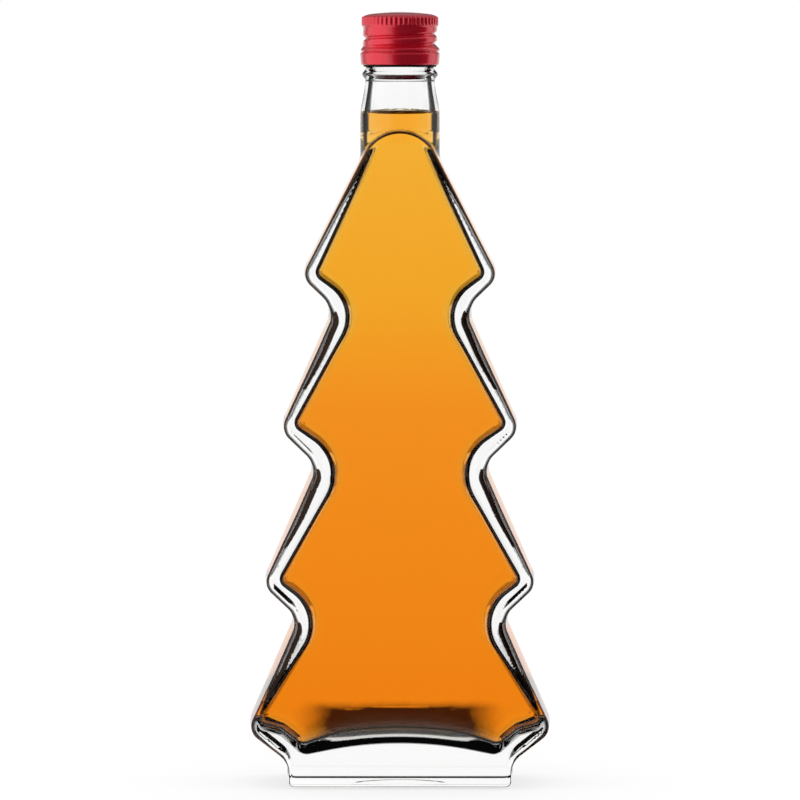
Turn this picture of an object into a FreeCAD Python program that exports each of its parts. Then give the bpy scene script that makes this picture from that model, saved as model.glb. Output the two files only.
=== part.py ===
"""Fir-tree-shaped glass bottle of spirit with a red aluminium roll-on cap.

Millimetres, +Z up, +X to the right of the flat front, -Y towards the viewer. The origin is the centre of
the underside. The glass, the liquid and the cap are three separate solids in one rigid assembly.
"""

import FreeCAD, Part
import math
import os

V = FreeCAD.Vector

# Overall heights
CAP_TOP = 273.9
LIP_TOP = 271.4
LIQUID_LEVEL = 237.8

# Tree body: corners of the right half of its outline as (half width, height, corner radius)
APEX = (0.0, 249.8, 14.6)
TREE_HALF = [
    (35.5, 180.4, 6.3),
    (23.8, 169.2, 7.7),
    (43.0, 126.3, 6.7),
    (30.3, 114.1, 6.2),
    (49.1, 71.6, 6.2),
    (37.2, 60.4, 5.5),
    (54.8, 20.2, 6.4),
    (40.2, 9.0, 7.0),
    (39.9, 0.0, 2.4),
]
FOOT_DEPTH = 52.0
CROWN_DEPTH = 35.0
CROWN_HEIGHT = 232.0
TAPER_START = 14.0
EDGE_ROUNDING = 2.0

# Hollow inside the tree, drawn the same way; its floor is domed over the last corner
HOLLOW_APEX = (0.0, 246.4, 10.6)
HOLLOW_HALF = [
    (30.6, 181.0, 4.5),
    (15.4, 169.7, 13.0),
    (38.3, 127.9, 4.5),
    (19.6, 114.9, 15.0),
    (43.5, 72.9, 4.5),
    (27.9, 61.0, 14.0),
    (51.6, 21.3, 4.5),
    (42.2, 18.6, 5.0),
    (34.6, 10.3, 5.0),
]
FLOOR_DOME = (0.0, 16.8, 140.0)
FACE_WALL = 3.2
HOLLOW_ROUNDING = 4.0

# The domed floor also rises to the front and back, by this much at this distance from the middle
FLOOR_RISE = 8.0
FLOOR_REACH = 20.5
FLOOR_POWER = 1.8

# Shallow round push-up under the foot
PUSH_UP_RADIUS = 19.0
PUSH_UP_HEIGHT = 1.4

# Neck, from inside the shoulder up to the lip, as (radius, height)
NECK_ROOT = 205.0
NECK_OUTSIDE = [
    (14.2, NECK_ROOT),
    (14.2, 224.0),
    (14.0, 237.2),
    (13.7, 241.0),
    (13.1, 244.4),
    (12.4, 248.4),
    (12.3, 250.0),
]
TRANSFER_RING_RADIUS = 13.4
TRANSFER_RING_BASE = 250.0
TRANSFER_RING_TOP = 253.6
RING_ROOT_RADIUS = 12.2
RING_CHAMFER = 0.5
RING_HALF_FLAT = 0.3
RING_HALF_HEIGHT = 0.9
FINISH_RADIUS = 11.9
FINISH_SLOPE = 1.0
LIP_DROP = 0.8
BORE_RADIUS = 9.3
BORE = [(11.0, NECK_ROOT), (11.0, 234.0), (9.6, 249.0), (BORE_RADIUS, 255.0)]

# Roll-on cap
KNURL_RADIUS = 13.6
KNURL_DEPTH = 0.3
KNURL_COUNT = 48
KNURL_TOP = 272.3
KNURL_BASE = 269.1
RIM_ROUNDING = 1.3
DOME_RISE = 0.5
DOME_MIDDLE_DROP = 0.15
THREAD_WALL = 12.6
BEAD_RADIUS = 13.2
BEAD_BEVEL = (0.3, 0.7)
GROOVE_HALF_FLAT = 0.25
GROOVE_HALF_WIDTH = 0.95
GROOVE_HEIGHTS = [266.1, 264.2, 262.3]
FLANGE_RADIUS = 14.1
FLANGE_HEIGHT = 260.5
FLANGE_SLOPE = 0.8
SLIT_HEIGHT = 259.7
SLIT_GAP = 0.55
BRIDGE_COUNT = 6
BRIDGE_WIDTH = 1.0
BRIDGE_TURN = -9.0
BAND_TOP_RADIUS = 14.15
BAND_TOP_BEVEL = (0.15, 1.2)
BAND_BASE_RADIUS = 13.85
BAND_BASE = 255.1
CAP_WALL = 0.35
CAP_CLEARANCE = 0.1
SHOULDER_HALF_HEIGHT = 0.6


def mirrored(apex, half, floor=None):
    """Closed ring of corners: the apex, the right half, the middle of the floor and the left half."""
    left = [(-x, z, r) for x, z, r in reversed(half)]
    middle = [floor] if floor else []
    return [apex] + half + middle + left


def rounded_outline(corners):
    """Closed wire in the XZ plane through the corners, each rounded by a tangent arc of its own radius."""
    arcs = []
    count = len(corners)
    for i, (x, z, radius) in enumerate(corners):
        corner = V(x, 0, z)
        before = V(corners[i - 1][0], 0, corners[i - 1][1]) - corner
        after = V(corners[(i + 1) % count][0], 0, corners[(i + 1) % count][1]) - corner
        before.normalize()
        after.normalize()
        half_angle = before.getAngle(after) / 2
        tangent = radius / math.tan(half_angle)
        bisector = before + after
        bisector.normalize()
        centre = corner + bisector * (radius / math.sin(half_angle))
        arcs.append((corner + before * tangent, centre - bisector * radius, corner + after * tangent))
    edges = []
    for i, (start, middle, end) in enumerate(arcs):
        edges.append(Part.Arc(start, middle, end).toShape())
        edges.append(Part.LineSegment(end, arcs[(i + 1) % count][0]).toShape())
    return Part.Wire(edges)


def wedge(inset):
    """Block between the flat front and back, which lean together from the foot towards the crown."""
    foot = FOOT_DEPTH / 2 - inset
    crown = CROWN_DEPTH / 2 - inset
    lean = (foot - crown) / (CROWN_HEIGHT - TAPER_START)
    top = CROWN_HEIGHT + 40
    top_half = foot - lean * (top - TAPER_START)
    reach = 80
    half = [(foot, -10), (foot, TAPER_START), (top_half, top)]
    side = half + [(-y, z) for y, z in reversed(half)]
    points = [V(-reach, y, z) for y, z in side]
    return Part.Face(Part.makePolygon(points + points[:1])).extrude(V(2 * reach, 0, 0))


def slab(corners, inset, rounding):
    """The outline made as deep as the wedge, with its front and back edges rounded."""
    face = Part.Face(rounded_outline(corners))
    face.translate(V(0, -40, 0))
    body = face.extrude(V(0, 80, 0)).common(wedge(inset))
    flats = [f for f in body.Faces if abs(f.normalAt(0, 0).y) > 0.9]
    rims = []
    for flat in flats:
        for edge in flat.Edges:
            shared = [f for f in flats if any(edge.isSame(other) for other in f.Edges)]
            if len(shared) == 1:
                rims.append(edge)
    return body.makeFillet(rounding, rims)


def turned(profile):
    """Solid of revolution about Z from (radius, height) points, closed along the axis."""
    points = [V(r, 0, z) for r, z in profile]
    closed = [V(0, 0, points[0].z)] + points + [V(0, 0, points[-1].z)]
    return Part.Face(Part.makePolygon(closed + closed[:1])).revolve(V(0, 0, 0), V(0, 0, 1), 360)


def turned_smooth(profile):
    """Solid of revolution whose wall is one smooth curve through the (radius, height) points."""
    points = [V(r, 0, z) for r, z in profile]
    curve = Part.BSplineCurve()
    curve.interpolate(points)
    ends = Part.makePolygon([points[-1], V(0, 0, points[-1].z), V(0, 0, points[0].z), points[0]])
    return Part.Face(Part.Wire([curve.toShape()] + ends.Edges)).revolve(V(0, 0, 0), V(0, 0, 1), 360)


def neck():
    """Neck, transfer ring and the plain finish that the cap is rolled onto."""
    wall = turned_smooth(NECK_OUTSIDE)
    middle = (TRANSFER_RING_BASE + TRANSFER_RING_TOP) / 2
    lip = (FINISH_RADIUS + BORE_RADIUS) / 2
    finish = turned(
        [
            (RING_ROOT_RADIUS, TRANSFER_RING_BASE),
            (TRANSFER_RING_RADIUS - RING_CHAMFER, middle - RING_HALF_HEIGHT),
            (TRANSFER_RING_RADIUS, middle - RING_HALF_FLAT),
            (TRANSFER_RING_RADIUS, middle + RING_HALF_FLAT),
            (TRANSFER_RING_RADIUS - RING_CHAMFER, middle + RING_HALF_HEIGHT),
            (RING_ROOT_RADIUS, TRANSFER_RING_TOP),
            (FINISH_RADIUS, TRANSFER_RING_TOP + FINISH_SLOPE),
            (FINISH_RADIUS, LIP_TOP - LIP_DROP),
            (lip, LIP_TOP),
        ]
    )
    return wall.fuse(finish)


def floor_bowl():
    """Barrel lying from front to back, thicker at its ends, whose top is the floor of the hollow."""
    dome_x, dome_height, dome_radius = FLOOR_DOME
    corner_x, corner_height, _ = HOLLOW_HALF[-1]
    half_angle = math.atan2(corner_x - dome_x, dome_height - corner_height)
    axis_height = dome_height - dome_radius / math.sin(half_angle)
    points = []
    for share in (-1.0, -0.75, -0.5, -0.25, 0.0, 0.25, 0.5, 0.75, 1.0):
        y = share * FOOT_DEPTH / 2
        rise = FLOOR_RISE * (abs(y) / FLOOR_REACH) ** FLOOR_POWER
        points.append(V(0, y, axis_height + dome_radius + rise))
    curve = Part.BSplineCurve()
    curve.interpolate(points)
    on_axis = [V(0, end.y, axis_height) for end in (points[-1], points[0])]
    ends = Part.makePolygon([points[-1]] + on_axis + [points[0]])
    profile = Part.Face(Part.Wire([curve.toShape()] + ends.Edges))
    return profile.revolve(V(0, 0, axis_height), V(0, 1, 0), 360)


def hollow():
    """Everything inside the glass: the tree's hollow and the bore of the neck, open at the lip."""
    tree = slab(mirrored(HOLLOW_APEX, HOLLOW_HALF, FLOOR_DOME), FACE_WALL, HOLLOW_ROUNDING)
    bore = turned_smooth(BORE).fuse(turned([BORE[-1], (BORE_RADIUS, LIP_TOP + 1)]))
    return tree.cut(floor_bowl()).fuse(bore).removeSplitter()


def push_up():
    """Ball whose cap is the shallow hollow under the foot."""
    radius = (PUSH_UP_RADIUS**2 + PUSH_UP_HEIGHT**2) / (2 * PUSH_UP_HEIGHT)
    return Part.makeSphere(radius, V(0, 0, PUSH_UP_HEIGHT - radius))


def bottle(inside):
    tree = slab(mirrored(APEX, TREE_HALF), 0, EDGE_ROUNDING)
    outside = tree.fuse(neck()).removeSplitter()
    return outside.cut(inside).cut(push_up()).removeSplitter()


def liquid(inside):
    below = Part.makeBox(200, 200, LIQUID_LEVEL + 10, V(-100, -100, -10))
    return inside.common(below).removeSplitter()


def knurled_rim():
    """Fluted ring round the top of the cap, as a prism with shallow V flutes."""
    points = []
    for i in range(2 * KNURL_COUNT):
        angle = math.pi * i / KNURL_COUNT
        radius = KNURL_RADIUS - KNURL_DEPTH * (i % 2)
        points.append(V(radius * math.cos(angle), radius * math.sin(angle), KNURL_BASE))
    return Part.Face(Part.makePolygon(points + points[:1])).extrude(V(0, 0, KNURL_TOP - KNURL_BASE))


def cap_outside():
    """Turned outside of the cap below and above its fluted rim."""
    inner = KNURL_RADIUS - KNURL_DEPTH
    profile = [
        (BAND_BASE_RADIUS, BAND_BASE),
        (BAND_TOP_RADIUS, SLIT_HEIGHT - BAND_TOP_BEVEL[1]),
        (BAND_TOP_RADIUS - BAND_TOP_BEVEL[0], SLIT_HEIGHT),
        (FLANGE_RADIUS, FLANGE_HEIGHT),
        (BEAD_RADIUS, FLANGE_HEIGHT + FLANGE_SLOPE),
    ]
    for height in reversed(GROOVE_HEIGHTS):
        profile.append((THREAD_WALL, height - GROOVE_HALF_FLAT))
        profile.append((THREAD_WALL, height + GROOVE_HALF_FLAT))
        profile.append((BEAD_RADIUS, height + GROOVE_HALF_WIDTH))
    profile += [
        (BEAD_RADIUS, KNURL_BASE - BEAD_BEVEL[1]),
        (BEAD_RADIUS - BEAD_BEVEL[0], KNURL_BASE),
        (inner, KNURL_BASE),
        (inner, KNURL_TOP),
        (inner - RIM_ROUNDING / 3, (KNURL_TOP + 2 * (CAP_TOP - DOME_RISE)) / 3),
        (inner - RIM_ROUNDING, CAP_TOP - DOME_RISE),
        (inner / 2, CAP_TOP - DOME_MIDDLE_DROP),
    ]
    return turned(profile)


def cap_inside():
    """Room for the glass finish, a clearance wider than the glass and stopping on the lip."""
    return turned(
        [
            (BAND_BASE_RADIUS - CAP_WALL, BAND_BASE - 1),
            (BAND_TOP_RADIUS - CAP_WALL, SLIT_HEIGHT - BAND_TOP_BEVEL[1]),
            (BAND_TOP_RADIUS - CAP_WALL, FLANGE_HEIGHT - SHOULDER_HALF_HEIGHT),
            (FINISH_RADIUS + CAP_CLEARANCE, FLANGE_HEIGHT + SHOULDER_HALF_HEIGHT),
            (FINISH_RADIUS + CAP_CLEARANCE, LIP_TOP),
        ]
    )


def tamper_slit():
    """Ring-shaped slit between cap and tamper band, broken by the bridges that still join them."""
    outer = Part.makeCylinder(FLANGE_RADIUS + 2, SLIT_GAP, V(0, 0, SLIT_HEIGHT - SLIT_GAP / 2))
    inner = Part.makeCylinder(FINISH_RADIUS, SLIT_GAP, V(0, 0, SLIT_HEIGHT - SLIT_GAP / 2))
    ring = outer.cut(inner)
    for i in range(BRIDGE_COUNT):
        bridge = Part.makeBox(20, BRIDGE_WIDTH, 4, V(0, -BRIDGE_WIDTH / 2, SLIT_HEIGHT - 2))
        bridge.rotate(V(0, 0, 0), V(0, 0, 1), 360 * i / BRIDGE_COUNT - 90 + BRIDGE_TURN)
        ring = ring.cut(bridge)
    return ring


def cap():
    outside = cap_outside().fuse(knurled_rim())
    return outside.cut(cap_inside()).cut(tamper_slit()).removeSplitter()


def main():
    os.makedirs("parts", exist_ok=True)
    inside = hollow()
    solids = {"bottle": bottle(inside), "liquid": liquid(inside), "cap": cap()}
    for name, shape in solids.items():
        print(
            name,
            "valid", shape.isValid(),
            "solids", len(shape.Solids),
            "volume cm3", round(shape.Volume / 1000, 2),
            "faces", len(shape.Faces),
        )
        shape.Solids[0].exportStep(f"parts/{name}.step")


main()
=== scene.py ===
"""Looks of a fir-tree-shaped glass bottle of amber spirit with a red roll-on cap.

The file is laid out as an add-on. A property group holds the sizes and colours, one operator makes
each piece, one makes the studio, and a panel in the sidebar lists them.

The glass and the drink are described by fields. A field is negative inside a form, zero on its
surface and positive outside. Each field is meshed on a grid, its vertices are drawn onto the true
surface, and the field's own slope gives the normals, so that the glass bends light as smoothly as
fire-polished glass does. Lengths are in millimetres up to the point where a mesh is made.
"""

import itertools
import math

import bmesh
import bpy
import numpy as np
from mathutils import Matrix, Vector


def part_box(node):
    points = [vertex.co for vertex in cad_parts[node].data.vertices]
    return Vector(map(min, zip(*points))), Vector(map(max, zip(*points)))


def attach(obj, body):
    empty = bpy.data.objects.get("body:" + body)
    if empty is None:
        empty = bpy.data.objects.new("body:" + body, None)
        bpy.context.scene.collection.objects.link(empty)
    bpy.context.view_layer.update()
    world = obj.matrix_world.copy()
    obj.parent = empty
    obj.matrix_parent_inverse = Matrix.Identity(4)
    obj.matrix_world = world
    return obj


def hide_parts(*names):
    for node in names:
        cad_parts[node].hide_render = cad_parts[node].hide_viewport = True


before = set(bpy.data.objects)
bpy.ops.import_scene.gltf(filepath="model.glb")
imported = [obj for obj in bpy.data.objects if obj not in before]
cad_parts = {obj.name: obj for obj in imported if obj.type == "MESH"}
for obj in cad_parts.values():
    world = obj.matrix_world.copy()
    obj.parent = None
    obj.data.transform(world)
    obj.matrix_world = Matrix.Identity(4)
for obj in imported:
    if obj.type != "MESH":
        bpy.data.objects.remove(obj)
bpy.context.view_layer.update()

BOTTLE_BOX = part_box("bottle")
DRINK_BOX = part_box("liquid")

bl_info = {
    "name": "Fir tree bottle",
    "version": (1, 0, 0),
    "blender": (4, 5, 0),
    "location": "3D View > Sidebar > Bottle",
    "description": "Makes a tree-shaped glass bottle, its drink, its cap and a plain studio",
    "category": "Object",
}

MM = 0.001

# Corners of the right half of the tree and of the hollow in it: half width, height, corner radius
TREE_APEX = (0.0, 249.8, 14.6)
TREE_SIDE = [
    (35.5, 180.4, 6.3),
    (23.8, 169.2, 7.7),
    (43.0, 126.3, 6.7),
    (30.3, 114.1, 6.2),
    (49.1, 71.6, 6.2),
    (37.2, 60.4, 5.5),
    (54.8, 20.2, 6.4),
    (40.2, 9.0, 7.0),
    (39.9, 0.0, 2.4),
]
HOLLOW_APEX = (0.0, 246.4, 10.6)
HOLLOW_SIDE = [
    (30.6, 181.0, 3.5),
    (15.4, 169.7, 13.0),
    (38.3, 127.9, 3.5),
    (19.6, 114.9, 15.0),
    (43.5, 72.9, 3.5),
    (27.9, 61.0, 14.0),
    (51.6, 21.3, 2.5),
    (42.2, 18.6, 5.0),
    (34.6, 11.7, 5.0),
]
FLOOR_DOME = (0.0, 18.2, 140.0)
NOTCH_HEIGHTS = (167.0, 111.5, 57.5)

# Front and back faces: upright over the foot, then leaning in as far as the crown
LEAN_START = 14.0
LEAN_BEND = 3.0
CROWN_HEIGHT = 232.0
FOOT_ROUNDING = 0.6
WALL_DRAFT = 0.035

# What the swell below each notch adds to the rounding and to the draft
SWELL_ROUNDING = 1.6
SWELL_DRAFT = 0.03

# Round neck with its transfer ring, its bore, and the push-up under the foot
NECK_START = 205.0
NECK_RADIUS = 14.1
NECK_NARROWING = 1.85
RING_STAND = 1.25
RING_HEIGHT = 251.8
RING_WIDTH = 1.3
BORE_START = 225.0
BORE_RADIUS = 11.0
BORE_NARROWING = 1.2
PUSH_UP_RADIUS = 19.0
PUSH_UP_HEIGHT = 1.4

# Hollow: rounding of its edges, and the bowl of its floor
HOLLOW_ROUNDING = 5.0
CROWN_SHARPENING = 2.4
NOTCH_SOFTENING = 2.2
BOWL_REACH = 20.5
BOWL_DROP = 1.4

# Drink: how far it reaches into the glass, and how it creeps up the wall
INTO_GLASS = 0.12
CREEP_HEIGHT = 1.3
CREEP_REACH = 1.1

# Grids for meshing: the size of a cell, and finer stretches (from, to, step) along each axis
NECK_WIDTH = [(-14.5, 14.0, 0.7)]
NECK_DEPTH = [(-15.5, 15.0, 0.7)]
BRIM_HEIGHTS = [(230.0, 236.0, 0.6), (236.0, 240.5, 0.2)]
GLASS_GRID = (1.0, [NECK_WIDTH, NECK_DEPTH, [(221.0, 275.0, 0.6)]])
DRINK_GRID = (1.0, [[(-12.5, 12.0, 0.5)], [(-12.5, 12.0, 0.5)], BRIM_HEIGHTS])
AXIS_ORDERS = ([0, 1, 2], [1, 0, 2], [1, 2, 0])
SURFACE_STEPS = 4
NEARLY = 1e-6

# Faces within this angle are merged below this height, in degrees and metres
MERGE_ANGLE = 0.3
MERGE_BELOW = 0.222

# Parts of the glass, in the order of the piece's materials
CLEAR, WETTED, INSIDE, NECK, RIM, CROWN_BACK, ARCH, SWELL = range(8)
WETTED_ABOVE = 1.2
NECK_FOOT = 220.0
ARCH_FOOT = 226.0
CROWN_BACK_HEIGHTS = (224.0, 238.0)
CROWN_BACK_REACH = 11.5

GLASS_INDEX = 1.5
DRINK_INDEX = 1.36
NO_SHINE = (0, 0, 0)
BROWN_SHINE = (0.60, 0.36, 0.26)
PALE_GLASS = (0.985, 0.988, 0.985)


def smooth_step(value, low, high):
    """Zero up to low, one from high on, and a smooth passage between them."""
    share = np.clip((value - low) / (high - low), 0, 1)
    return share * share * (3 - 2 * share)


def joined(a, b, blend):
    """Union of two fields with a rounded valley between them."""
    share = np.maximum(blend - np.abs(a - b), 0) / blend
    return np.minimum(a, b) - share * share * blend / 4


def cut(a, b, blend):
    """What two fields have in common, with a rounded edge."""
    return -joined(-a, -b, blend)


class Outline:
    """Distance to a closed ring of straight runs and tangent arcs, the same left and right."""

    def __init__(self, apex, side, floor=None):
        middle = [floor] if floor else []
        ring = [apex] + side + middle + [(-x, z, r) for x, z, r in reversed(side)]
        points = np.array([(x, z) for x, z, _ in ring])
        self.arcs, starts, ends = [], [], []
        for i, (_, _, radius) in enumerate(ring):
            before = points[i - 1] - points[i]
            after = points[(i + 1) % len(ring)] - points[i]
            before, after = before / np.hypot(*before), after / np.hypot(*after)
            half = math.acos(np.clip(before @ after, -1, 1)) / 2
            bisector = (before + after) / np.hypot(*(before + after))
            centre = points[i] + bisector * radius / math.sin(half)
            convex = 1.0 if before[0] * after[1] - before[1] * after[0] > 0 else -1.0
            self.arcs.append((centre, radius, convex, -bisector, math.sin(half)))
            starts.append(points[i] + before * radius / math.tan(half))
            ends.append(points[i] + after * radius / math.tan(half))
        self.runs = [(ends[i], starts[(i + 1) % len(ring)]) for i in range(len(ring))]
        self.runs = [(p, q) for p, q in self.runs if max(p[0], q[0]) > -NEARLY]
        self.arcs = [a for a in self.arcs if a[0][0] > -NEARLY]

    def __call__(self, x, z):
        """Distance at each place across the face, negative inside the ring."""
        x = np.abs(x)
        best = np.full(np.broadcast(x, z).shape, 1e9)
        for start, end in self.runs:
            along = end - start
            length = np.hypot(*along)
            along = along / length
            t = (x - start[0]) * along[0] + (z - start[1]) * along[1]
            off = (z - start[1]) * along[0] - (x - start[0]) * along[1]
            near = (t >= -NEARLY) & (t <= length + NEARLY) & (np.abs(off) < np.abs(best))
            best = np.where(near, off, best)
        for centre, radius, convex, towards, cosine in self.arcs:
            dx, dz = x - centre[0], z - centre[1]
            reach = np.hypot(dx, dz)
            off = (reach - radius) * convex
            within = dx * towards[0] + dz * towards[1] >= reach * (cosine - 1e-9)
            near = within & (np.abs(off) < np.abs(best))
            best = np.where(near, off, best)
        return best


class Form:
    """The fields of the bottle, in millimetres, worked out from the panel's sizes."""

    def __init__(self, sizes):
        self.tree = Outline(TREE_APEX, TREE_SIDE)
        self.hollow_line = Outline(HOLLOW_APEX, HOLLOW_SIDE, FLOOR_DOME)
        self.foot = sizes.foot_depth / MM / 2
        crown = sizes.crown_depth / MM / 2
        self.lean = (self.foot - crown) / (CROWN_HEIGHT - LEAN_START)
        self.wall = sizes.face_wall / MM
        if self.wall >= crown:
            raise ValueError("The face walls leave no hollow: make them thinner or the crown deeper")
        self.edge = sizes.edge_rounding / MM
        self.level = sizes.drink_level / MM
        self.kick = sizes.floor_kick / MM
        self.lip = BOTTLE_BOX[1][2] / MM

    def half_depth(self, z):
        """Half of the depth at a height: straight over the foot, then leaning in to the crown."""
        rise = np.sqrt((z - LEAN_START) ** 2 + LEAN_BEND**2)
        return self.foot - self.lean * ((z - LEAN_START) + rise) / 2

    def slab(self, outline, x, y, z, wall, rounding, draft=0.0):
        """An outline carried from front to back, less a wall, with rounded rims and drafted sides."""
        across = outline(x, z) + draft * (np.sqrt(y * y + 1.0) - 1.0) + rounding
        through = np.abs(y) - self.half_depth(z) + wall + rounding
        outside = np.hypot(np.maximum(across, 0), np.maximum(through, 0))
        return np.minimum(np.maximum(across, through), 0) + outside - rounding

    def neck_radius(self, z):
        """The neck narrows over its shoulder and again at the finish, with the transfer ring between."""
        ring = RING_STAND * np.exp(-(((z - RING_HEIGHT) / RING_WIDTH) ** 2))
        shoulder = NECK_NARROWING * smooth_step(z, 236.5, 250.5) + 0.3 * smooth_step(z, 252.0, 255.0)
        return NECK_RADIUS - shoulder + ring

    def bore_radius(self, z):
        """The bore narrows with the neck's shoulder."""
        return BORE_RADIUS - BORE_NARROWING * smooth_step(z, 236.0, 253.0)

    def lift(self, x, y, z):
        """How far the hollow's floor rises towards the front and back, as the bottom of a bowl does."""
        depth = (np.abs(y) / BOWL_REACH) ** 1.8
        width = 0.45 + 0.55 * (1 - smooth_step(np.abs(x), 16.0, 46.0))
        return (self.kick * depth * width - BOWL_DROP) * (1 - smooth_step(z, 22.0, 56.0))

    def hollow(self, x, y, z):
        """The tree's hollow, softer at the notches and crisper at the crown, with the bore above it."""
        rho = np.hypot(x, y)
        rounding = HOLLOW_ROUNDING - CROWN_SHARPENING * smooth_step(z, 208.0, 228.0)
        for height in NOTCH_HEIGHTS:
            rounding = rounding + NOTCH_SOFTENING * np.exp(-(((z - height) / 9.0) ** 2))
        tree = self.slab(self.hollow_line, x, y, z - self.lift(x, y, z), self.wall, rounding)
        bore = np.maximum(rho - self.bore_radius(z), BORE_START - z)
        return joined(tree, bore, 1.0)

    def swell(self, z):
        """One just below each notch, fading to nothing down the slope below it."""
        share = 0.0
        for height in NOTCH_HEIGHTS:
            start = 1 - smooth_step(z, height - 3.0, height + 4.0)
            share = share + start * smooth_step(z, height - 34.0, height - 12.0)
        return share

    def rim(self, z):
        """Rounding round the front and back faces: crisp at the foot, and wider below the notches."""
        crisp = FOOT_ROUNDING + (self.edge - FOOT_ROUNDING) * smooth_step(z, 3.0, 14.0)
        return crisp + SWELL_ROUNDING * self.swell(z)

    def outside(self, x, y, z):
        """The whole outside: the tree, the neck standing in it, and the push-up under the foot."""
        rho = np.hypot(x, y)
        draft = WALL_DRAFT + SWELL_DRAFT * self.swell(z)
        tree = self.slab(self.tree, x, y, z, 0.0, self.rim(z), draft)
        neck = np.maximum(rho - self.neck_radius(z), NECK_START - z)
        body = joined(tree, neck, 0.8)
        ball = (PUSH_UP_RADIUS**2 + PUSH_UP_HEIGHT**2) / (2 * PUSH_UP_HEIGHT)
        push_up = np.sqrt(x * x + y * y + (z - PUSH_UP_HEIGHT + ball) ** 2) - ball
        return cut(body, -push_up, 0.5)

    def glass(self, x, y, z):
        """The glass between the outside and the hollow, open at the lip."""
        walls = cut(self.outside(x, y, z), -self.hollow(x, y, z), 0.1)
        return cut(walls, z - self.lip, 1.0)

    def drink(self, x, y, z):
        """The drink up to its level, creeping up the wall at the brim."""
        inside = self.hollow(x, y, z) - INTO_GLASS
        creep = np.exp(np.minimum(inside, 0) / CREEP_REACH)
        return cut(inside, z - self.level - CREEP_HEIGHT * creep, 0.2)


def gradient(field, points, step=0.01):
    """Slope of a field at each point, from its values a step to either side."""
    parts = []
    for axis in range(3):
        ahead, behind = points.copy(), points.copy()
        ahead[:, axis] += step
        behind[:, axis] -= step
        parts.append(field(*ahead.T) - field(*behind.T))
    return np.stack(parts, 1) / (2 * step)


def grid_line(low, high, cell, fine):
    """Places along an axis, a cell apart, and closer within the fine stretches (from, to, step)."""
    places = [low - 1.5 * cell]
    while places[-1] < high + 1.5 * cell:
        steps = [step for start, end, step in fine if start <= places[-1] < end]
        places.append(places[-1] + min(steps + [cell]))
    return np.array(places)


def shifted(grid, shape, steps):
    """What a grid holds at one corner of each of its cells."""
    return grid[tuple(slice(step, step + size) for step, size in zip(steps, shape))]


def crossing_points(values, cells, axes):
    """One point in each cell: the mean of the places where the surface crosses the cell's edges."""
    total, hits = np.zeros((len(cells), 3)), np.zeros(len(cells))
    for axis, u, v in itertools.product(range(3), (0, 1), (0, 1)):
        corner = [u, v]
        corner.insert(axis, 0)
        start = cells + corner
        end = start.copy()
        end[:, axis] += 1
        a, b = values[tuple(start.T)], values[tuple(end.T)]
        crossed = (a < 0) != (b < 0)
        share = np.where(crossed, a / np.where(crossed, a - b, 1.0), 0.0)
        place = start.astype(float)
        place[:, axis] += share
        total += place * crossed[:, None]
        hits += crossed
    places = total / hits[:, None]
    columns = [np.interp(places[:, i], np.arange(len(axes[i])), axes[i]) for i in range(3)]
    return np.stack(columns, 1)


def crossing_quads(inside, number):
    """A quad round each grid edge that the surface crosses, between the points of its four cells."""
    quads = []
    for axis in range(3):
        u, v = (axis + 1) % 3, (axis + 2) % 3
        moved = np.moveaxis(inside, axis, 0)
        change = np.argwhere(moved[1:] != moved[:-1])
        leaving = moved[:-1][tuple(change.T)]
        where = change[:, AXIS_ORDERS[axis]]
        corners = []
        for du, dv in ((0, 0), (-1, 0), (-1, -1), (0, -1)):
            spot = where.copy()
            spot[:, u] += du
            spot[:, v] += dv
            corners.append(number[tuple(spot.T)])
        quad = np.stack(corners, 1)
        quad[~leaving] = quad[~leaving][:, ::-1]
        quads.append(quad)
    return np.concatenate(quads)


def surface_of(field, low, high, cell, fine):
    """Vertices and quads of a field's surface, from a grid of cells of the given size."""
    axes = [grid_line(a, b, cell, stretches) for a, b, stretches in zip(low, high, fine)]
    values = field(axes[0][:, None, None], axes[1][None, :, None], axes[2][None, None, :])
    inside = values < 0
    shape = tuple(n - 1 for n in inside.shape)
    corners = itertools.product((0, 1), repeat=3)
    count = sum(shifted(inside, shape, corner).astype(np.int8) for corner in corners)
    active = (count > 0) & (count < 8)
    cells = np.argwhere(active)
    if not len(cells):
        raise ValueError("These sizes leave nothing to make")
    number = np.full(shape, -1)
    number[active] = np.arange(len(cells))
    points = crossing_points(values, cells, axes)
    for _ in range(SURFACE_STEPS):
        slope = gradient(field, points)
        points -= slope * (field(*points.T) / np.maximum((slope**2).sum(1), 1e-6))[:, None]
    return points, crossing_quads(inside, number)


def smooth_mesh(name, field, low, high, cell, fine):
    """Object of a field's surface: flat runs of faces are merged, and the field's slope shades it."""
    points, quads = surface_of(field, low, high, cell, fine)
    mesh = bpy.data.meshes.new(name)
    mesh.from_pydata((points * MM).tolist(), [], quads.tolist())
    work = bmesh.new()
    work.from_mesh(mesh)
    verts = [v for v in work.verts if v.co.z < MERGE_BELOW]
    edges = [e for e in work.edges if max(v.co.z for v in e.verts) < MERGE_BELOW]
    bmesh.ops.dissolve_limit(work, angle_limit=math.radians(MERGE_ANGLE), verts=verts, edges=edges)
    bmesh.ops.triangulate(work, faces=work.faces[:])
    work.to_mesh(mesh)
    work.free()
    mesh.polygons.foreach_set("use_smooth", [True] * len(mesh.polygons))
    mesh.update()
    kept = np.empty(len(mesh.vertices) * 3)
    mesh.vertices.foreach_get("co", kept)
    slope = gradient(field, kept.reshape(-1, 3) / MM)
    normals = slope / np.linalg.norm(slope, axis=1, keepdims=True)
    mesh.normals_split_custom_set_from_vertices(normals.tolist())
    piece = bpy.data.objects.new(name, mesh)
    bpy.context.collection.objects.link(piece)
    return piece


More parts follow.
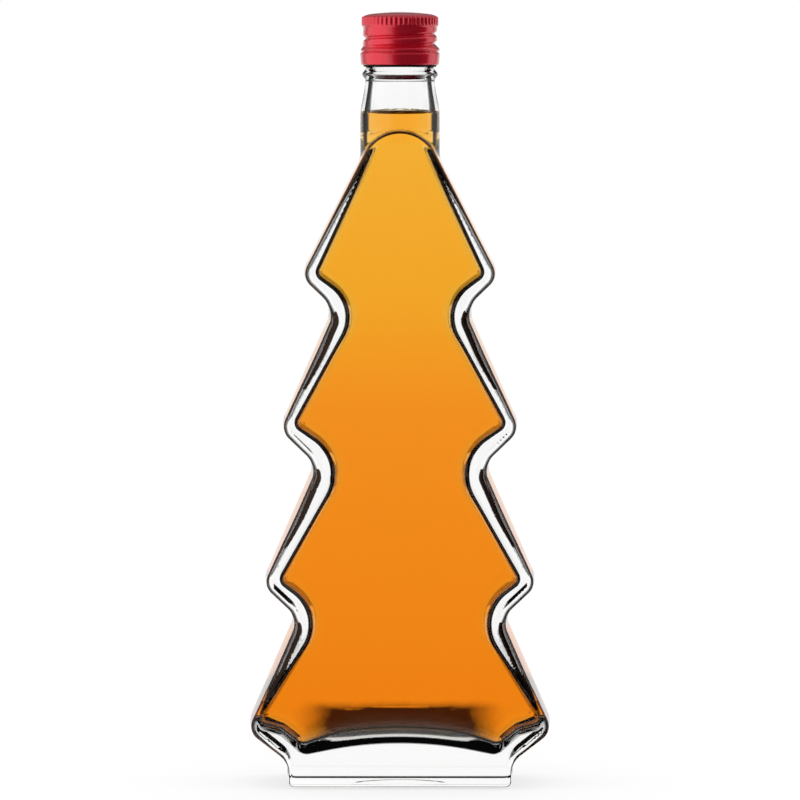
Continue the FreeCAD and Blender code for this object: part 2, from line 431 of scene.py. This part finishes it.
def polygon_centres(piece):
    """Middles of an object's faces, in millimetres, as x, y and z arrays."""
    centres = np.empty(len(piece.data.polygons) * 3)
    piece.data.polygons.foreach_get("center", centres)
    return (centres.reshape(-1, 3) / MM).T


def new_material(name):
    """A new material, and its nodes."""
    material = bpy.data.materials.new(name)
    material.use_nodes = True
    return material, Nodes(material.node_tree)


class Nodes:
    """A short way of adding nodes to a tree."""

    def __init__(self, tree):
        self.nodes, self.links = tree.nodes, tree.links
        self.shader = self.nodes.get("Principled BSDF")

    def add(self, kind, *inputs, **settings):
        """A node of this kind, with its first inputs fed by sockets or plain values."""
        node = self.nodes.new("ShaderNode" + kind)
        for name, setting in settings.items():
            setattr(node, name, setting)
        for socket, item in zip(node.inputs, inputs):
            self.feed(item, socket)
        return node

    def feed(self, item, socket):
        """Link a socket, or set a plain value."""
        if isinstance(item, bpy.types.NodeSocket):
            self.links.new(item, socket)
        elif item is not None:
            socket.default_value = item

    def maths(self, operation, *inputs):
        """Result of one of Blender's maths operations."""
        return self.add("Math", *inputs, operation=operation).outputs[0]

    def plus(self, a, b):
        return self.maths("ADD", a, b)

    def times(self, a, b):
        return self.maths("MULTIPLY", a, b)

    def smaller(self, a, b):
        return self.maths("MINIMUM", a, b)

    def larger(self, a, b):
        return self.maths("MAXIMUM", a, b)

    def fade(self, value, low, high, start=0.0, end=1.0):
        """A smooth passage from start to end as a value goes from low to high."""
        node = self.add("MapRange", value, low, high, start, end, interpolation_type="SMOOTHSTEP")
        return node.outputs[0]

    def noise(self, scale, place=None):
        """Soft noise over the object, from 0 to 1."""
        if place is None:
            place = self.add("TexCoord").outputs["Object"]
        node = self.add("TexNoise", place)
        node.inputs["Scale"].default_value = scale
        return node.outputs[0]

    def facing(self):
        """How far the surface turns away from the eye, from 0 to 1."""
        return self.add("LayerWeight", 0.5).outputs["Facing"]

    def blend(self, share, first, second):
        """A number between two."""
        node = self.add("Mix", data_type="FLOAT")
        for item, socket in zip((share, first, second), (node.inputs[0], node.inputs[2], node.inputs[3])):
            self.feed(item, socket)
        return node.outputs[0]

    def mix(self, share, first, second):
        """A colour between two."""
        node = self.add("Mix", data_type="RGBA")
        for item, socket in zip((share, first, second), (node.inputs[0], node.inputs[6], node.inputs[7])):
            self.feed(item if not isinstance(item, tuple) else (*item, 1), socket)
        return node.outputs[2]

    def paint(self, share, first, second):
        """Make the surface's base colour one between two."""
        self.links.new(self.mix(share, first, second), self.shader.inputs["Base Color"])


def clear_shader(nodes, index, shine):
    """Turn a material's shader to polished clear stuff of this index, with this tint of shine."""
    shader = nodes.shader
    shader.inputs["Base Color"].default_value = (1, 1, 1, 1)
    shader.inputs["Transmission Weight"].default_value = 1.0
    shader.inputs["Roughness"].default_value = 0.0
    shader.inputs["IOR"].default_value = index
    shader.inputs["Specular Tint"].default_value = (*shine, 1)


def dark_band(nodes, low, high, soft):
    """One, except where the surface turns away from the eye by between low and high."""
    facing = nodes.facing()
    before = nodes.fade(facing, low - soft, low, 1.0, 0.0)
    return nodes.larger(before, nodes.fade(facing, high, high + soft))


def glass_material(name, shine, dark_bend=None, dark=(0, 0, 0), index=GLASS_INDEX):
    """Clear glass, either with the faint cords of all moulded glass or with a dark bend.

    A dark bend is the range of turning over which the glass bends light out of the studio.
    """
    material, nodes = new_material(name)
    clear_shader(nodes, index, shine)
    # Painted shade: over a dark bend the base colour is painted dark.
    if dark_bend:
        nodes.paint(dark_band(nodes, *dark_bend), dark, PALE_GLASS)
    else:
        nodes.paint(nodes.fade(nodes.noise(25.0), 0.3, 0.7), (0.975, 0.98, 0.975), (0.99, 0.99, 0.985))
    return material


def swell_material():
    """Rounded glass below each notch: a brown line near its edge, and a black streak further in."""
    material, nodes = new_material("clear_glass_swell")
    clear_shader(nodes, GLASS_INDEX, BROWN_SHINE)
    # Painted shade: both marks darken the base colour where the glass bends light away.
    streak = dark_band(nodes, 0.02, 0.20, 0.015)
    line = dark_band(nodes, 0.48, 0.66, 0.06)
    nodes.paint(nodes.smaller(streak, line), (0.0008, 0.0003, 0.0002), PALE_GLASS)
    return material


def wetted_material():
    """Glass the drink wets: amber in the neck, pinker low down, painted shade at the floor's back."""
    material, nodes = new_material("clear_glass_wetted")
    clear_shader(nodes, GLASS_INDEX, NO_SHINE)
    place = nodes.add("TexCoord").outputs["Object"]
    x, y, z = nodes.add("SeparateXYZ", place).outputs
    # Painted shade: a brown-black patch low on the back wall, where thick glass bends light away.
    drift = nodes.times(nodes.maths("SUBTRACT", nodes.noise(90.0, place), 0.5), 0.006)
    side = nodes.fade(nodes.plus(nodes.maths("ABSOLUTE", x), drift), 0.024, 0.041, 1.0, 0.0)
    low = nodes.fade(z, 0.009, 0.011)
    high = nodes.fade(nodes.plus(z, nodes.times(drift, 0.5)), 0.0245, 0.0285, 1.0, 0.0)
    back = nodes.fade(y, 0.003, 0.008)
    heel_shade = nodes.times(nodes.times(back, side), nodes.times(low, high))
    body = nodes.mix(nodes.fade(z, 0.125, 0.180), (1, 0.80, 0.92), (1, 1, 1))
    height_tint = nodes.mix(nodes.fade(z, 0.226, 0.234), body, (0.99, 0.74, 0.40))
    nodes.paint(heel_shade, height_tint, (0.004, 0.0012, 0.0004))
    return material


def drink_material(colour, strength):
    """Amber spirit, painted dark where it turns away at the floor's edge and at the brim in the neck."""
    material, nodes = new_material("amber_spirit")
    clear_shader(nodes, DRINK_INDEX, NO_SHINE)
    facing = nodes.facing()
    height = nodes.add("SeparateXYZ", nodes.add("TexCoord").outputs["Object"]).outputs[2]
    # Painted light: a thin pale streak and a faint glow inside the painted shade, low at the floor's
    # edge.
    streak = nodes.times(nodes.fade(facing, 0.55, 0.575), nodes.fade(facing, 0.60, 0.625, 1.0, 0.0))
    painted_glow_start = nodes.fade(facing, 0.44, 0.55, 0.0, 0.015)
    painted_glow = nodes.times(painted_glow_start, nodes.fade(facing, 0.60, 0.68, 1.0, 0.0))
    streak = nodes.larger(nodes.times(streak, 0.6), painted_glow)
    streak = nodes.times(streak, nodes.fade(height, 0.026, 0.030, 1.0, 0.0))
    # Painted shade: the base colour goes black where the drink turns away from the eye.
    share = nodes.larger(nodes.fade(facing, 0.28, 0.40, 1.0, 0.0), streak)
    brim = nodes.times(nodes.fade(facing, 0.37, 0.41), nodes.fade(height, 0.226, 0.229))
    nodes.paint(nodes.larger(share, brim), (0, 0, 0), (1, 1, 1))
    volume = nodes.add("VolumeAbsorption", (*colour, 1), strength)
    nodes.links.new(volume.outputs[0], nodes.nodes["Material Output"].inputs["Volume"])
    return material


def glass_parts(form, x, y, z):
    """Which part of the glass each place belongs to."""
    inner = np.abs(form.hollow(x, y, z)) < np.abs(form.outside(x, y, z))
    on_neck = np.abs(np.hypot(x, y) - form.neck_radius(z)) < 0.1
    neck = ~inner & on_neck & (z > NECK_FOOT)
    near_side = -form.tree(x, z) < form.rim(z) + 1.0
    rim = near_side & (np.abs(y) > form.half_depth(z) - form.rim(z)) & (y < 0)
    wetted = inner & (z < form.level + WETTED_ABOVE)
    parts = np.select([wetted, inner, neck, rim], [WETTED, INSIDE, NECK, RIM], CLEAR)
    parts[(parts == RIM) & (z > ARCH_FOOT)] = ARCH
    parts[(parts == RIM) & (form.swell(z) > 0.3)] = SWELL
    low, high = CROWN_BACK_HEIGHTS
    crown = (z > low) & (z < high) & (np.abs(x) < CROWN_BACK_REACH)
    parts[~inner & ~neck & (y > 0) & near_side & crown] = CROWN_BACK
    return parts


def make_glass(sizes):
    """The bottle's glass, with a material for each of its parts."""
    form = Form(sizes)
    low, high = (np.array(v) / MM for v in BOTTLE_BOX)
    piece = smooth_mesh("bottle_glass", form.glass, low, high, *GLASS_GRID)
    # Painted shade: the neck, rim and arch glass takes these dark colours over its dark bends.
    neck_bend, neck_dark = (0.45, 0.56, 0.04), (0.0012, 0.0006, 0.0005)
    rim_bend, rim_dark = (0.30, 0.66, 0.10), (0.02, 0.004, 0.002)
    arch_bend, arch_dark = (0.22, 0.80, 0.05), (0.003, 0.001, 0.0005)
    for material in (
        glass_material("clear_glass", (1, 1, 1)),
        wetted_material(),
        glass_material("clear_glass_inside", (0.3, 0.3, 0.3)),
        glass_material("clear_glass_neck", (0.4, 0.4, 0.4), neck_bend, neck_dark),
        glass_material("clear_glass_rim", BROWN_SHINE, rim_bend, rim_dark),
        glass_material("clear_glass_edge", NO_SHINE, index=1.0),
        glass_material("clear_glass_arch", (0.25, 0.25, 0.25), arch_bend, arch_dark),
        swell_material(),
    ):
        piece.data.materials.append(material)
    parts = glass_parts(form, *polygon_centres(piece))
    piece.data.polygons.foreach_set("material_index", parts.astype(np.int32))
    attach(piece, "root")
    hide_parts("bottle")


def make_drink(sizes):
    """The drink, from the floor of the hollow up to its level in the neck."""
    form = Form(sizes)
    low, high = (np.array(v) / MM for v in DRINK_BOX)
    low[2] -= 3
    high[2] += 2
    piece = smooth_mesh("amber_drink", form.drink, low, high, *DRINK_GRID)
    piece.data.materials.append(drink_material(tuple(sizes.drink_colour), sizes.drink_strength))
    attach(piece, "root")
    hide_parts("liquid")


# Cap: counts round it, then heights from the crown down
CAP_FLUTES = 48
CAP_COLUMNS = CAP_FLUTES * 10
CAP_BRIDGES = 6
BRIDGE_SPAN = 3.0
CAP_CROWN = 273.85
WALL_TOP = 271.6
SLIT_TOP = 260.0
SLIT_BOTTOM = 259.45
BAND_BOTTOM = 255.1

# Radii and depths of the cap's wall, flutes, rolled thread and band, and the bend over its crown
WALL_RADIUS = 13.15
FLARE = 0.45
FLUTE_DEPTH = 0.32
THREAD_START = 266.1
THREAD_PITCH = 3.4
THREAD_DEPTH = 0.95
THREAD_WIDTH = 0.62
BAND_STAND = 0.95
BAND_TUCK = 0.25
DOME_REACH = 9.5
DOME_FALL = 0.0064
BEND_STEPS = 12
BEND_REACH = 4.1
SHEET_THICKNESS = 0.22


def cap_radius(z, turn):
    """Radius of the cap's wall at heights and angles, in millimetres and radians."""
    radius = WALL_RADIUS + FLARE * smooth_step(z, 268.4, 269.2)
    around = np.cos(turn * CAP_FLUTES)
    flute = (0.5 - 0.5 * around) ** 1.6
    radius = radius - FLUTE_DEPTH * flute * smooth_step(z, 268.9, 269.7)
    for lap in range(-2, 2):
        height = THREAD_START + THREAD_PITCH * (turn / (2 * math.pi) + lap)
        fade_in = 1 - smooth_step(height, 266.7, 268.2)
        fade_out = smooth_step(height, 260.6, 261.8)
        groove = np.exp(-(((z - height) / THREAD_WIDTH) ** 2))
        radius = radius - THREAD_DEPTH * fade_in * fade_out * groove
    radius = radius + BAND_STAND * (1 - smooth_step(z, 260.5, 262.0))
    return radius - BAND_TUCK * (1 - smooth_step(z, BAND_BOTTOM, 259.4))


def ring(reach, z):
    """One level row of the cap: a radius and a height for each column."""
    return np.zeros(CAP_COLUMNS) + reach, np.zeros(CAP_COLUMNS) + z


def crown_rows(turns):
    """Rows from the middle of the domed crown over its bend to the top of the wall."""
    rows = [ring(reach, CAP_CROWN - DOME_FALL * reach**2) for reach in (0.05, 3.0, 6.0, 8.0, DOME_REACH)]
    outer = cap_radius(WALL_TOP, turns)
    for step in range(1, BEND_STEPS):
        bend = step / BEND_STEPS * math.pi / 2
        reach = DOME_REACH + (outer - DOME_REACH) * math.sin(bend)
        flat = DOME_REACH + BEND_REACH * math.sin(bend)
        z = CAP_CROWN - DOME_FALL * flat**2 - (1 - math.cos(bend))
        rows.append(ring(flat + (reach - flat) * smooth_step(math.sin(bend), 0.1, 0.6), z))
    return rows


def wall_rows(turns):
    """Rows down the wall, across the slit with its bridges, and down the tamper band."""
    rows = []
    for z in np.concatenate([np.linspace(WALL_TOP, 261.0, 54), np.linspace(260.8, SLIT_TOP, 6)]):
        inward = 0.35 * max(0.0, 1 - (z - SLIT_TOP) / 0.5) ** 2
        rows.append(ring(cap_radius(z, turns) - inward, z))
    bridge = (np.degrees(turns) + 99 + BRIDGE_SPAN / 2) % (360 / CAP_BRIDGES) < BRIDGE_SPAN
    for z in (259.97, 259.48):
        wall = cap_radius(z, turns) - 0.35
        rows.append(ring(np.where(bridge, wall, wall - 0.25), z))
    for z in np.concatenate([np.linspace(SLIT_BOTTOM, 255.3, 10), [255.15]]):
        top = 0.25 * max(0.0, 1 - (SLIT_BOTTOM - z) / 0.4) ** 2
        bottom = 0.5 * max(0.0, 1 - (z - BAND_BOTTOM) / 0.4) ** 2
        rows.append(ring(cap_radius(z, turns) - (top + bottom), z))
    return rows


def make_cap(sizes):
    """The roll-on cap: rows of points from the crown down, turned into thin sheet metal."""
    turns = np.arange(CAP_COLUMNS) / CAP_COLUMNS * 2 * math.pi - math.pi
    rows = crown_rows(turns) + wall_rows(turns)
    tucked = len(rows) - 1
    rows += [ring(reach, z) for reach, z in ((12.95, 255.0), (12.85, 254.5), (12.3, 254.4))]
    vertices = [
        (radius[i] * math.cos(turns[i]), radius[i] * math.sin(turns[i]), z[i])
        for radius, z in rows
        for i in range(CAP_COLUMNS)
    ]
    faces = []
    for row in range(len(rows) - 1):
        for i in range(CAP_COLUMNS):
            j = (i + 1) % CAP_COLUMNS
            above, below = row * CAP_COLUMNS, (row + 1) * CAP_COLUMNS
            faces.append((above + i, below + i, below + j, above + j))
    mesh = bpy.data.meshes.new("roll_on_cap")
    mesh.from_pydata([tuple(c * MM for c in v) for v in vertices], [], faces)
    mesh.polygons.foreach_set("use_smooth", [True] * len(faces))
    piece = bpy.data.objects.new("roll_on_cap", mesh)
    bpy.context.collection.objects.link(piece)
    shell = piece.modifiers.new("sheet", "SOLIDIFY")
    shell.thickness = SHEET_THICKNESS * MM
    shell.offset = -1
    piece.data.materials.append(cap_material(tuple(sizes.cap_colour)))
    piece.data.materials.append(shaded_metal())
    # The rows tucked under the bead take the painted shade.
    shaded = np.repeat(np.arange(len(rows) - 1) >= tucked, CAP_COLUMNS)
    mesh.polygons.foreach_set("material_index", shaded.astype(np.int32))
    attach(piece, "root")
    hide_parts("cap")


def cap_material(colour):
    """Red lacquer on aluminium, with fine upright streaks in its gloss and a faint mottle."""
    material, nodes = new_material("red_lacquer")
    shader = nodes.shader
    shader.inputs["Metallic"].default_value = 0.85
    shader.inputs["Coat Weight"].default_value = 1.0
    shader.inputs["Coat Roughness"].default_value = 0.14
    shader.inputs["Coat IOR"].default_value = 1.6
    place = nodes.add("TexCoord").outputs["Object"]
    stretched = nodes.add("Mapping", place)
    stretched.inputs["Scale"].default_value = (1, 1, 0.04)
    shine = nodes.fade(nodes.noise(900.0, stretched.outputs[0]), 0.3, 0.7, 0.40, 0.52)
    nodes.links.new(shine, shader.inputs["Roughness"])
    mottle = nodes.fade(nodes.noise(60.0, place), 0.3, 0.7)
    nodes.paint(mottle, tuple(c * 0.9 for c in colour), colour)
    return material


def shaded_metal():
    """Tamper band's lower edge, rolled in under the bead, painted near black as painted shade."""
    material, nodes = new_material("rolled_edge_shade")
    nodes.shader.inputs["Roughness"].default_value = 0.6
    nodes.shader.inputs["Specular IOR Level"].default_value = 0.1
    nodes.paint(nodes.noise(300.0), (0.004, 0.002, 0.003), (0.014, 0.003, 0.005))
    return material


def quadrant_lobes(nodes, vector):
    """One towards the front, back and sides, and nothing towards the four corners of the studio."""
    axes = nodes.add("SeparateXYZ", vector)
    x, y = axes.outputs[0], axes.outputs[1]
    product = nodes.maths("ABSOLUTE", nodes.times(x, y))
    square = nodes.plus(nodes.times(x, x), nodes.times(y, y))
    return nodes.fade(nodes.maths("DIVIDE", product, square), 0.40, 0.44, 1.0, 0.0)


def studio_glow(nodes, vector):
    """What polished surfaces reflect: a broad soft light on the left, a narrow one on the right."""
    axes = nodes.add("SeparateXYZ", nodes.add("VectorMath", vector, operation="NORMALIZE").outputs[0])
    x, y, z = axes.outputs
    left = nodes.fade(x, -0.62, -0.22, 1.05, 0.0)
    left = nodes.times(left, nodes.fade(y, 0.35, 0.62, 1.0, 0.3))
    right = nodes.times(nodes.fade(x, 0.45, 0.6), nodes.fade(y, -0.06, 0.14))
    right = nodes.times(right, nodes.fade(y, 0.40, 0.75, 1.0, 0.25))
    back = nodes.times(nodes.fade(y, 0.70, 0.80, 0.0, 0.9), nodes.fade(z, 0.10, 0.20, 1.0, 0.0))
    front = nodes.fade(y, -0.9, -0.2, 0.05, 0.02)
    above = nodes.fade(z, 0.1, 0.5, 0.0, 0.3)
    glow = nodes.larger(nodes.larger(left, right), back)
    return nodes.larger(nodes.larger(glow, front), above)


def make_world():
    """The studio's light: plain white to look at, shaped where it shines, and dark at its corners."""
    world = bpy.data.worlds.new("studio")
    bpy.context.scene.world = world
    world.use_nodes = True
    nodes = Nodes(world.node_tree)
    direction = nodes.add("TexCoord").outputs["Generated"]
    path = nodes.add("LightPath").outputs
    up = nodes.add("SeparateXYZ", direction).outputs[2]
    height = nodes.fade(up, 0.46, 0.51, 1.0, 0.0)
    through = nodes.times(quadrant_lobes(nodes, direction), height)
    seen = nodes.blend(path["Is Glossy Ray"], 1.0, studio_glow(nodes, direction))
    strength = nodes.blend(path["Is Transmission Ray"], seen, through)
    background = nodes.nodes["Background"]
    background.inputs["Color"].default_value = (1, 1, 1, 1)
    nodes.links.new(strength, background.inputs["Strength"])


def make_floor():
    """A pale floor that carries the studio's light on downwards, and keeps the bottle's shadow."""
    bpy.ops.mesh.primitive_plane_add(size=60)
    floor = bpy.context.object
    floor.name = "floor"
    material, nodes = new_material("pale_floor")
    shader = nodes.shader
    shader.inputs["Base Color"].default_value = (0.92, 0.92, 0.92, 1)
    shader.inputs["Roughness"].default_value = 0.8
    path = nodes.add("LightPath").outputs
    place = nodes.add("NewGeometry").outputs["Position"]
    slant = nodes.facing()
    low_rays = nodes.fade(slant, 0.78, 0.86)
    around = nodes.blend(low_rays, 1.0, quadrant_lobes(nodes, place))
    through = nodes.times(around, nodes.fade(slant, 0.48, 0.54, 0.02, 1.0))
    reach = nodes.add("VectorMath", place, operation="LENGTH").outputs["Value"]
    through = nodes.larger(through, nodes.fade(reach, 0.08, 0.14, 1.0, 0.0))
    strength = nodes.blend(path["Is Glossy Ray"], 1.08, studio_glow(nodes, place))
    strength = nodes.blend(path["Is Transmission Ray"], strength, through)
    emission = nodes.add("Emission", (1, 1, 1, 1), strength)
    share = nodes.times(path["Is Camera Ray"], 0.7)
    share = nodes.larger(share, path["Is Transmission Ray"])
    share = nodes.larger(share, path["Is Glossy Ray"])
    mix = nodes.add("MixShader", share, shader.outputs[0], emission.outputs[0])
    nodes.links.new(mix.outputs[0], nodes.nodes["Material Output"].inputs["Surface"])
    floor.data.materials.append(material)


# Camera: metres from the bottle and above the floor, and a long lens in millimetres
CAMERA_DISTANCE = 2.5
CAMERA_HEIGHT = 0.267
AIM_HEIGHT = 0.1362
SENSOR_WIDTH = 36.0
LENS = 317.1645


def make_camera():
    """A long-lens camera in front of the bottle, looking slightly down at its middle."""
    camera_data = bpy.data.cameras.new("camera")
    camera = bpy.data.objects.new("camera", camera_data)
    bpy.context.collection.objects.link(camera)
    tilt = math.atan2(CAMERA_HEIGHT - AIM_HEIGHT, CAMERA_DISTANCE)
    camera.location = (0, -CAMERA_DISTANCE, CAMERA_HEIGHT)
    camera.rotation_euler = (math.pi / 2 - tilt, 0, 0)
    camera_data.sensor_width = SENSOR_WIDTH
    camera_data.lens = LENS
    camera_data.clip_end = 100
    bpy.context.scene.camera = camera
    bpy.context.scene.view_settings.view_transform = "Standard"


def length_property(name, description, default):
    """A length that the panel shows in the scene's units."""
    return bpy.props.FloatProperty(
        name=name,
        description=description,
        default=default,
        min=0.0,
        precision=4,
        unit="LENGTH",
        subtype="DISTANCE",
    )


def colour_property(name, description, default):
    """A colour that the panel shows with a colour picker."""
    return bpy.props.FloatVectorProperty(
        name=name,
        description=description,
        default=default,
        min=0.0,
        max=1.0,
        subtype="COLOR",
    )


class BottleSizes(bpy.types.PropertyGroup):
    """Sizes and colours of the bottle, its drink and its cap."""

    foot_depth: length_property("Foot depth", "Depth of the glass at the foot", 0.052)
    crown_depth: length_property("Crown depth", "Depth of the glass at the top of the tree", 0.035)
    face_wall: length_property("Face wall", "Thickness of the front and back walls", 0.0032)
    edge_rounding: length_property("Edge rounding", "Radius of the rim round the front and back", 0.002)
    drink_level: length_property("Drink level", "Height of the drink's surface", 0.2375)
    floor_kick: length_property(
        "Floor kick", "How far the hollow's floor rises to the front and back", 0.009
    )
    drink_colour: colour_property(
        "Drink colour", "Colour that the drink lets through", (0.984, 0.763, 0.0)
    )
    drink_strength: bpy.props.FloatProperty(
        name="Drink strength",
        description="How fast the drink takes up light, for each metre",
        default=114.0,
        min=0.0,
    )
    cap_colour: colour_property(
        "Cap colour", "Colour of the lacquer on the cap", (0.86, 0.004, 0.035)
    )


def make_stage():
    """Everything round the bottle: the floor, the light and the camera."""
    make_floor()
    make_world()
    make_camera()


class BOTTLE_OT_glass(bpy.types.Operator):
    """Make the bottle's clear glass, with its neck, rim and hollow"""

    bl_idname = "bottle.glass"
    bl_label = "Make the glass"

    def execute(self, context):
        make_glass(context.scene.fir_bottle)
        return {"FINISHED"}


class BOTTLE_OT_drink(bpy.types.Operator):
    """Fill the hollow with amber spirit up to the drink level"""

    bl_idname = "bottle.drink"
    bl_label = "Pour the drink"

    def execute(self, context):
        make_drink(context.scene.fir_bottle)
        return {"FINISHED"}


class BOTTLE_OT_cap(bpy.types.Operator):
    """Make the roll-on cap with its flutes, rolled thread and tamper band"""

    bl_idname = "bottle.cap"
    bl_label = "Make the cap"

    def execute(self, context):
        make_cap(context.scene.fir_bottle)
        return {"FINISHED"}


class BOTTLE_OT_stage(bpy.types.Operator):
    """Make the floor, the studio's light and the camera"""

    bl_idname = "bottle.stage"
    bl_label = "Make the stage"

    def execute(self, context):
        make_stage()
        return {"FINISHED"}


OPERATORS = (BOTTLE_OT_glass, BOTTLE_OT_drink, BOTTLE_OT_cap, BOTTLE_OT_stage)


class BOTTLE_PT_panel(bpy.types.Panel):
    """Sizes of the bottle and the buttons that make its pieces"""

    bl_label = "Fir tree bottle"
    bl_space_type = "VIEW_3D"
    bl_region_type = "UI"
    bl_category = "Bottle"

    def draw(self, context):
        sizes = context.scene.fir_bottle
        for name in BottleSizes.__annotations__:
            self.layout.prop(sizes, name)
        for operator in OPERATORS:
            self.layout.operator(operator.bl_idname)


CLASSES = (BottleSizes, *OPERATORS, BOTTLE_PT_panel)


def register():
    """Make the add-on's classes and the scene's sizes known to Blender."""
    for item in CLASSES:
        bpy.utils.register_class(item)
    bpy.types.Scene.fir_bottle = bpy.props.PointerProperty(type=BottleSizes)


def unregister():
    """Take back what register does."""
    del bpy.types.Scene.fir_bottle
    for item in reversed(CLASSES):
        bpy.utils.unregister_class(item)


def main():
    """Make every piece and the stage."""
    register()
    bpy.ops.bottle.glass()
    bpy.ops.bottle.drink()
    bpy.ops.bottle.cap()
    bpy.ops.bottle.stage()


if __name__ == "__main__":
    main()
